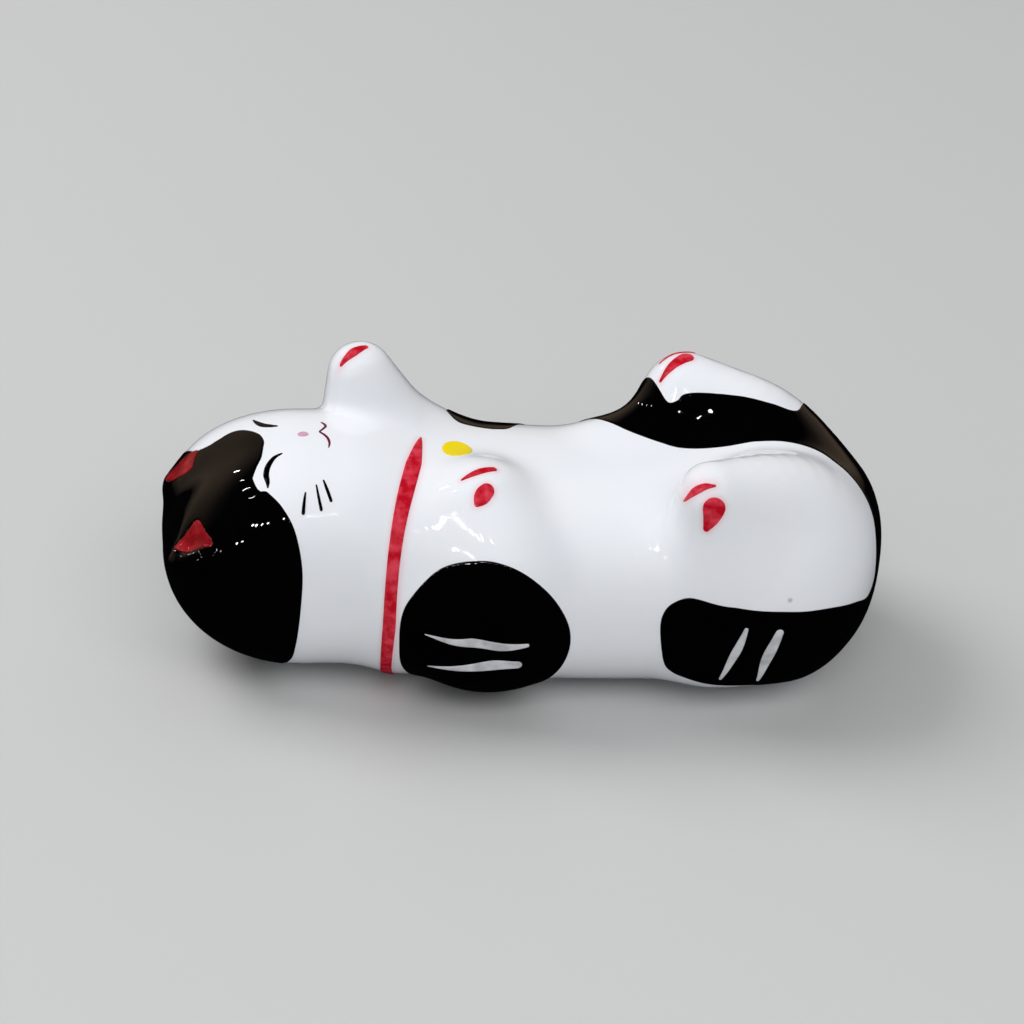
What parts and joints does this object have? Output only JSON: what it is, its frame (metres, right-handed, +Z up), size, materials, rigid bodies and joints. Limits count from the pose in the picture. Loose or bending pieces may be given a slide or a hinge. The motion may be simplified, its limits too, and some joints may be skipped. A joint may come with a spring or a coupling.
{
  "type": "chopstick rest",
  "caption": "Glazed ceramic chopstick rest shaped as a beckoning cat that lies on its back.",
  "frame": {"origin": "on the table plane under the middle of the rest, half way along its length", "axes": "+X from the cat's head to its rump, +Y to the cat's left side, +Z up from the table"},
  "size_m": [0.0602, 0.0273, 0.0247],
  "materials": {
    "white_glaze": "gloss",
    "black_enamel": "gloss",
    "red_enamel": "gloss",
    "yellow_enamel": "gloss",
    "pink_enamel": "gloss",
    "dark_red_enamel": "gloss",
    "white_enamel": "gloss"
  },
  "bodies": {
    "root": {"head": "white_glaze", "torso": "white_glaze", "right_ear": "white_glaze", "left_ear": "white_glaze", "right_foreleg": "white_glaze", "left_foreleg": "white_glaze", "right_hind_leg": "white_glaze", "left_hind_leg": "white_glaze", "right_ear_patch": "black_enamel", "left_ear_patch": "black_enamel", "right_eye": "black_enamel", "left_eye": "black_enamel", "right_whiskers": "black_enamel", "left_whiskers": "black_enamel", "right_shoulder_patch": "black_enamel", "left_shoulder_patch": "black_enamel", "rump_patch": "black_enamel", "right_ear_lining": "red_enamel", "left_ear_lining": "red_enamel", "collar": "red_enamel", "right_forepaw_pads": "red_enamel", "left_forepaw_pads": "red_enamel", "right_hind_pads": "red_enamel", "left_hind_pads": "red_enamel", "bell": "yellow_enamel", "nose": "pink_enamel", "mouth": "dark_red_enamel", "right_shoulder_strokes": "white_enamel", "left_shoulder_strokes": "white_enamel", "right_hip_strokes": "white_enamel", "left_hip_strokes": "white_enamel"}
  },
  "joints": []
}
